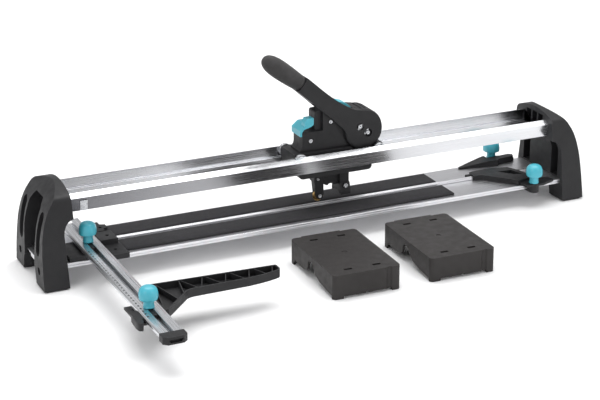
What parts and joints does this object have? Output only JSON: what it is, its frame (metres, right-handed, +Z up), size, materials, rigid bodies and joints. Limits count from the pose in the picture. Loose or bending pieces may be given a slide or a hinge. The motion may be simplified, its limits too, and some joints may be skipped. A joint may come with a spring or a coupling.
{
  "type": "tile cutter",
  "caption": "Manual tile cutter: lever carriage with scoring wheel on twin rails over a padded bed, with a sliding stop bar, corner stops and side supports.",
  "frame": {"origin": "centre of the footprint of the cutter and its loose supports, on the bench", "axes": "+X along the rails, +Y away from the user, +Z up"},
  "size_m": [0.876, 0.4588, 0.2779],
  "materials": {
    "black_plastic": "fine moulded texture",
    "support_plastic": "fine moulded texture, slightly warm",
    "grip_rubber": "soft matt overmould",
    "rubber": "matt",
    "foam": "closed-cell foam",
    "turquoise_plastic": "satin moulded",
    "satin_aluminium": "satin anodised extrusion",
    "polished_rail": "bright drawn and plated",
    "steel": "zinc plated",
    "brass": "titanium-nitride coated carbide"
  },
  "bodies": {
    "base": {"end_frame_left": "black_plastic", "end_frame_right": "black_plastic", "foot_left_front": "rubber", "foot_left_rear": "rubber", "foot_right_front": "rubber", "foot_right_rear": "rubber", "base_plate": "satin_aluminium", "breaking_rib": "satin_aluminium", "pad_front": "foam", "pad_rear": "foam", "rail_front": "polished_rail", "rail_rear": "polished_rail", "rail_clip": "steel", "fence_block": "black_plastic", "bar_carrier": "black_plastic", "bar_slide": "black_plastic"},
    "bar": {"stop_bar": "satin_aluminium", "bar_end_cap": "black_plastic"},
    "bar_clamp_knob": {"bar_knob": "turquoise_plastic"},
    "arm": {"stop_arm": "black_plastic", "arm_slide": "black_plastic"},
    "arm_clamp_knob": {"arm_knob": "turquoise_plastic"},
    "front_stop": {"stop_front": "black_plastic", "stop_front_jaw": "black_plastic"},
    "front_stop_knob": {"stop_front_knob": "turquoise_plastic"},
    "rear_stop": {"stop_rear": "black_plastic", "stop_rear_jaw": "black_plastic"},
    "rear_stop_knob": {"stop_rear_knob": "turquoise_plastic"},
    "carriage": {"carriage_frame": "black_plastic", "lower_plate": "black_plastic", "housing_front": "black_plastic", "housing_rear": "black_plastic", "housing_screw_1": "steel", "housing_screw_2": "steel", "roller_axle_left": "steel", "roller_axle_right": "steel", "lift_spring": "steel"},
    "front_left_roller": {"roller_front_left": "steel"},
    "rear_left_roller": {"roller_rear_left": "steel"},
    "front_right_roller": {"roller_front_right": "steel"},
    "rear_right_roller": {"roller_rear_right": "steel"},
    "lock": {"lock_lever": "turquoise_plastic"},
    "latch": {"latch": "turquoise_plastic"},
    "lever": {"handle_lever": "black_plastic", "handle_grip": "grip_rubber", "hub_shaft": "steel", "hub_screw_1": "steel", "hub_screw_2": "steel", "hub_screw_3": "steel", "hub_screw_4": "steel"},
    "press": {"press_block": "black_plastic", "breaker_foot": "black_plastic", "wheel_holder": "black_plastic", "wheel_axle": "steel", "holder_pin": "steel", "foot_screw": "steel"},
    "wheel": {"scoring_wheel": "brass"},
    "left_support": {"side_support_left": "support_plastic"},
    "right_support": {"side_support_right": "support_plastic"}
  },
  "joints": [
    {"name": "carriage_travel", "type": "slide", "parent": "base", "child": "carriage", "axis": [1, 0, 0], "range_m": [-0.312, 0.245]},
    {"name": "lever_swing", "type": "hinge", "parent": "carriage", "child": "lever", "pos_m": [0.0767, 0.15095, 0.1508], "axis": [0, 1, 0], "range_deg": [-6, 40]},
    {"name": "press_stroke", "type": "slide", "parent": "carriage", "child": "press", "axis": [0, 0, 1], "range_m": [-0.0022, 0.0145]},
    {"name": "wheel_spin", "type": "hinge", "parent": "press", "child": "wheel", "pos_m": [0.0109, 0.15095, 0.0508], "axis": [0, 1, 0], "continuous": true},
    {"name": "front_left_roller_spin", "type": "hinge", "parent": "carriage", "child": "front_left_roller", "pos_m": [-0.03, 0.12245, 0.1202], "axis": [0, 1, 0], "continuous": true},
    {"name": "rear_left_roller_spin", "type": "hinge", "parent": "carriage", "child": "rear_left_roller", "pos_m": [-0.03, 0.17945, 0.1202], "axis": [0, 1, 0], "continuous": true},
    {"name": "front_right_roller_spin", "type": "hinge", "parent": "carriage", "child": "front_right_roller", "pos_m": [0.098, 0.12245, 0.1202], "axis": [0, 1, 0], "continuous": true},
    {"name": "rear_right_roller_spin", "type": "hinge", "parent": "carriage", "child": "rear_right_roller", "pos_m": [0.098, 0.17945, 0.1202], "axis": [0, 1, 0], "continuous": true},
    {"name": "lock_swing", "type": "hinge", "parent": "carriage", "child": "lock", "pos_m": [-0.006, 0.15095, 0.172], "axis": [0, 1, 0], "range_deg": [0, 20]},
    {"name": "latch_press", "type": "hinge", "parent": "carriage", "child": "latch", "pos_m": [0.054, 0.15095, 0.184], "axis": [0, 1, 0], "range_deg": [0, 8], "stiffness_Nm_per_rad": 0.3, "springref_deg": -5.73},
    {"name": "bar_travel", "type": "slide", "parent": "base", "child": "bar", "axis": [0, 1, 0], "range_m": [-0.06, 0.06]},
    {"name": "bar_knob_turn", "type": "hinge", "parent": "base", "child": "bar_clamp_knob", "pos_m": [-0.3605, 0.11895, 0.06], "axis": [0, 0, 1], "range_deg": [0, 540]},
    {"name": "arm_travel", "type": "slide", "parent": "bar", "child": "arm", "axis": [0, 1, 0], "range_m": [-0.048, 0.07]},
    {"name": "arm_knob_turn", "type": "hinge", "parent": "arm", "child": "arm_clamp_knob", "pos_m": [-0.3605, -0.13005, 0.06], "axis": [0, 0, 1], "range_deg": [0, 540]},
    {"name": "front_stop_travel", "type": "slide", "parent": "base", "child": "front_stop", "axis": [1, 0, 0], "range_m": [-0.045, 0.009]},
    {"name": "front_stop_knob_turn", "type": "hinge", "parent": "front_stop", "child": "front_stop_knob", "pos_m": [0.35, 0.08595, 0.05], "axis": [0, 0, 1], "range_deg": [0, 540]},
    {"name": "rear_stop_travel", "type": "slide", "parent": "base", "child": "rear_stop", "axis": [1, 0, 0], "range_m": [-0.045, 0.009]},
    {"name": "rear_stop_knob_turn", "type": "hinge", "parent": "rear_stop", "child": "rear_stop_knob", "pos_m": [0.35, 0.21595, 0.05], "axis": [0, 0, 1], "range_deg": [0, 540]},
    {"name": "left_support_travel", "type": "slide", "parent": "base", "child": "left_support", "axis": [0, 1, 0], "range_m": [-0.04, 0.035]},
    {"name": "right_support_travel", "type": "slide", "parent": "base", "child": "right_support", "axis": [0, 1, 0], "range_m": [-0.04, 0.035]}
  ],
  "couplings": [
    {"joint": "press_stroke", "follows": "lever_swing", "m_per_rad": 0.02},
    {"joint": "front_left_roller_spin", "follows": "carriage_travel", "rad_per_m": 105.26},
    {"joint": "rear_left_roller_spin", "follows": "carriage_travel", "rad_per_m": 105.26},
    {"joint": "front_right_roller_spin", "follows": "carriage_travel", "rad_per_m": 105.26},
    {"joint": "rear_right_roller_spin", "follows": "carriage_travel", "rad_per_m": 105.26}
  ]
}
